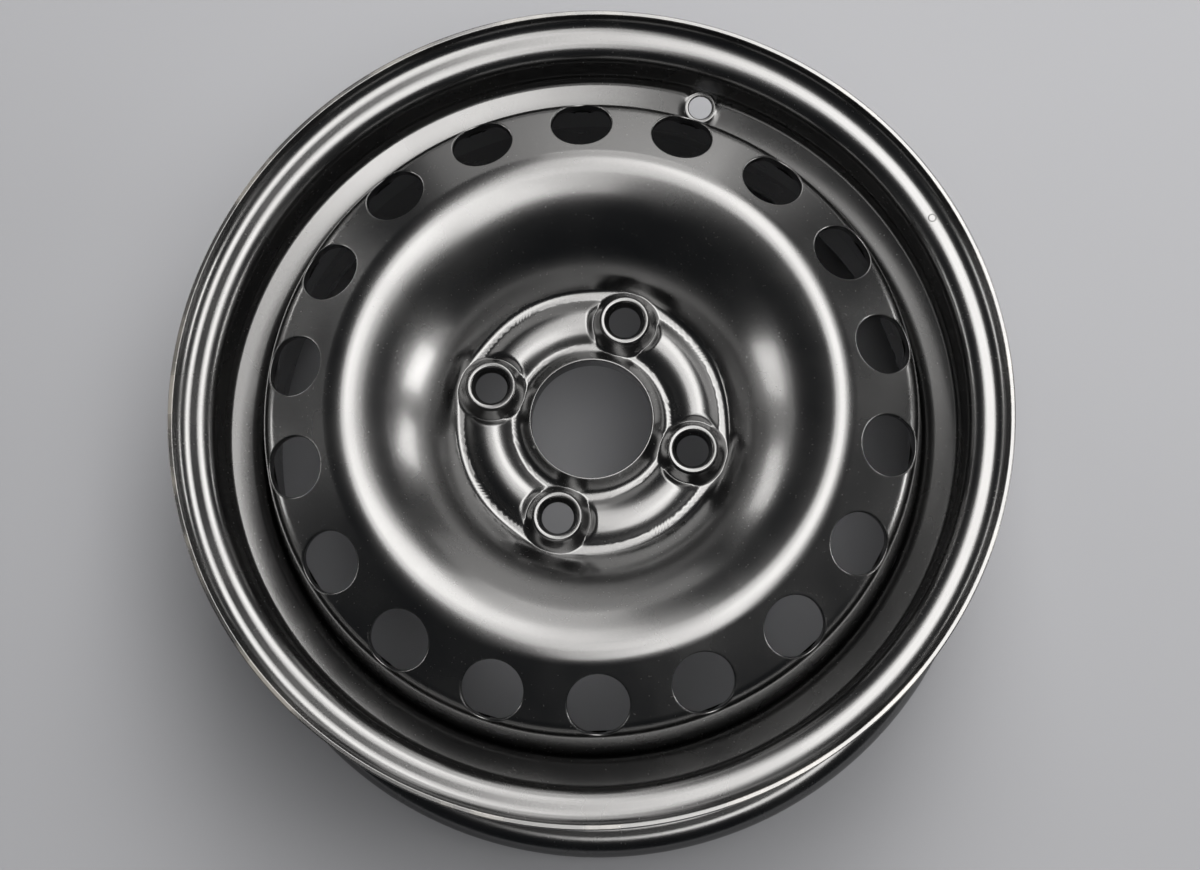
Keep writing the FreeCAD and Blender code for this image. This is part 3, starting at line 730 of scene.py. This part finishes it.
# Match mark: a small ring stamped on the outboard flange, where the rim runs highest, for fitting the tyre.
# It stands a fifth of a millimetre proud of the flange's flat and is under the same paint.
MARK_RADIUS = 1.75
MARK_TUBE = 0.25
MARK_PLACE = 184.6
MARK_AT = math.radians(42.3)
mark_work = Sheetwork()
ring_turns = np.linspace(0, 2 * math.pi, 32, endpoint=False)
tube_turns = np.linspace(0, 2 * math.pi, 13)
mark_centre = at_angles(np.array(MARK_PLACE), np.array(HALF_WIDTH + RIM_GAUGE), np.array(MARK_AT))
ring_aim = np.stack([np.cos(ring_turns), np.sin(ring_turns), np.zeros_like(ring_turns)], axis=1)
mark_up = np.array([0, 0, 1])
mark_slopes = np.array([ring_aim * math.cos(turn) + mark_up * math.sin(turn) for turn in tube_turns])
mark_work.add(mark_centre + ring_aim * MARK_RADIUS + mark_slopes * MARK_TUBE, mark_slopes, closed=True)
mark = mark_work.piece("match_mark", rim_paint)
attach(mark, "root")


# Floor: a plain pale sheet under the wheel, as in a product photo.
# It is no part of the wheel, and runs well past the picture's edges.
REACH = 6.0
floor_mesh = bpy.data.meshes.new("floor")
floor_corners = [(-REACH, -REACH, 0), (REACH, -REACH, 0), (REACH, REACH, 0), (-REACH, REACH, 0)]
floor_mesh.from_pydata(floor_corners, [], [(0, 1, 2, 3)])
floor_paint = bpy.data.materials.new("pale floor")
floor_paint.use_nodes = True
floor_shader = floor_paint.node_tree.nodes["Principled BSDF"]
floor_shader.inputs["Base Color"].default_value = (0.418, 0.425, 0.448, 1)
floor_shader.inputs["Roughness"].default_value = 0.7
floor_mesh.materials.append(floor_paint)
floor = bpy.data.objects.new("floor", floor_mesh)
bpy.context.scene.collection.objects.link(floor)


# Camera: above the outboard face and a little to one side, with a long lens.
# The frame's axes: right and down in the picture, and away from the camera.
TILT = math.radians(14.63)
ROLL = math.radians(-7.41)
DISTANCE = 1108 * MM
FOCUS = 2412.0
SHIFT = (-10.8, -32.7)
PICTURE_WIDTH = 1200.0
BOLT_PHASE = math.radians(90 - 64.5)
SENSOR = 36.0
normal = Vector((math.sin(TILT) * math.sin(ROLL), -math.sin(TILT) * math.cos(ROLL), -math.cos(TILT)))
right = Vector((math.cos(ROLL), math.sin(ROLL), 0))
other = normal.cross(right)
middle = Vector((SHIFT[0] * DISTANCE / FOCUS, SHIFT[1] * DISTANCE / FOCUS, DISTANCE))
world_right = Vector((math.cos(BOLT_PHASE), math.sin(BOLT_PHASE), 0))
world_other = Vector((-math.sin(BOLT_PHASE), math.cos(BOLT_PHASE), 0))
world_up = Vector((0, 0, 1))


def to_world(vector):
    """A direction in the camera's right, down and away axes, in the wheel's axes."""
    return world_right * vector.dot(right) + world_other * vector.dot(other) + world_up * vector.dot(normal)


camera_right = to_world(Vector((1, 0, 0)))
camera_up = -to_world(Vector((0, 1, 0)))
camera_back = -to_world(Vector((0, 0, 1)))
flange_centre = Vector((0, 0, CENTRE_UP + LIP_END * MM))
camera = bpy.data.objects.new("camera", bpy.data.cameras.new("camera"))
camera.data.sensor_width = SENSOR
camera.data.lens = SENSOR * FOCUS / PICTURE_WIDTH
camera.location = flange_centre - to_world(middle)
turn = camera.matrix_world.to_3x3()
for row in range(3):
    turn[row] = (camera_right[row], camera_up[row], camera_back[row])
camera.rotation_euler = turn.to_euler()
bpy.context.scene.collection.objects.link(camera)
bpy.context.scene.camera = camera


# Light: a tall strip of soft boxes from beside the camera to overhead, window-sized ones low at both
# sides, and a dim room. Directions are in degrees from the line of sight, right and down in the picture.
BOX_DISTANCE = 1.7
BOX_COLOUR = (1.0, 0.982, 0.962)


def soft_box(name, across, down, width, height, radiance):
    """An area light that fills the given angles as seen from the wheel, at the given radiance."""
    slant = math.radians(math.hypot(across, down))
    heading = math.atan2(down, across)
    aim = Vector((math.cos(heading), math.sin(heading), 0)) * math.sin(slant)
    aim.z = -math.cos(slant)
    lamp = bpy.data.objects.new(name, bpy.data.lights.new(name, "AREA"))
    lamp.data.shape = "RECTANGLE"
    lamp.data.size = 2 * BOX_DISTANCE * math.tan(math.radians(width / 2))
    lamp.data.size_y = 2 * BOX_DISTANCE * math.tan(math.radians(height / 2))
    lamp.data.energy = radiance * math.pi * lamp.data.size * lamp.data.size_y
    lamp.data.color = BOX_COLOUR
    out = to_world(aim)
    side = (camera_right - out * camera_right.dot(out)).normalized()
    upward = out.cross(side)
    frame_turn = camera.matrix_world.to_3x3()
    for row in range(3):
        frame_turn[row] = (side[row], upward[row], out[row])
    lamp.location = flange_centre + out * BOX_DISTANCE
    lamp.rotation_euler = frame_turn.to_euler()
    bpy.context.scene.collection.objects.link(lamp)


soft_box("strip light top", 6, -72, 28, 24, 2.11)
soft_box("strip light upper part", 6, -48, 28, 24, 3.69)
soft_box("strip light lower part", 6, -24, 28, 24, 3.73)
soft_box("strip light bottom", 6, 0, 28, 24, 2.84)
soft_box("strip light core", 16, -24, 26, 66, 2.07)
soft_box("top wall", 6, -92, 60, 24, 0.89)
soft_box("left low window", -80, -9, 16, 18, 4.8)
soft_box("left high window", -74, -57, 17, 17, 5.2)
soft_box("right low window", 77, -5, 16, 17, 8.6)
soft_box("right high window", 76, -42, 14, 18, 6.3)
soft_box("left wall", -80, -32, 15, 24, 0.7)
soft_box("right low wall", 78, 16, 15, 20, 1.47)
world = bpy.data.worlds.new("room")
bpy.context.scene.world = world
world.use_nodes = True
room = world.node_tree.nodes["Background"]
room.inputs["Color"].default_value = (0.27, 0.30, 0.34, 1)
room.inputs["Strength"].default_value = 0.07
backdrop = world.node_tree.nodes.new("ShaderNodeBackground")
backdrop.inputs["Color"].default_value = (0.50, 0.50, 0.51, 1)
seen_by = world.node_tree.nodes.new("ShaderNodeLightPath")
either = world.node_tree.nodes.new("ShaderNodeMixShader")
world.node_tree.links.new(seen_by.outputs["Is Camera Ray"], either.inputs[0])
world.node_tree.links.new(room.outputs[0], either.inputs[1])
world.node_tree.links.new(backdrop.outputs[0], either.inputs[2])
world.node_tree.links.new(either.outputs[0], world.node_tree.nodes["World Output"].inputs["Surface"])

bpy.context.scene.view_settings.view_transform = "Standard"
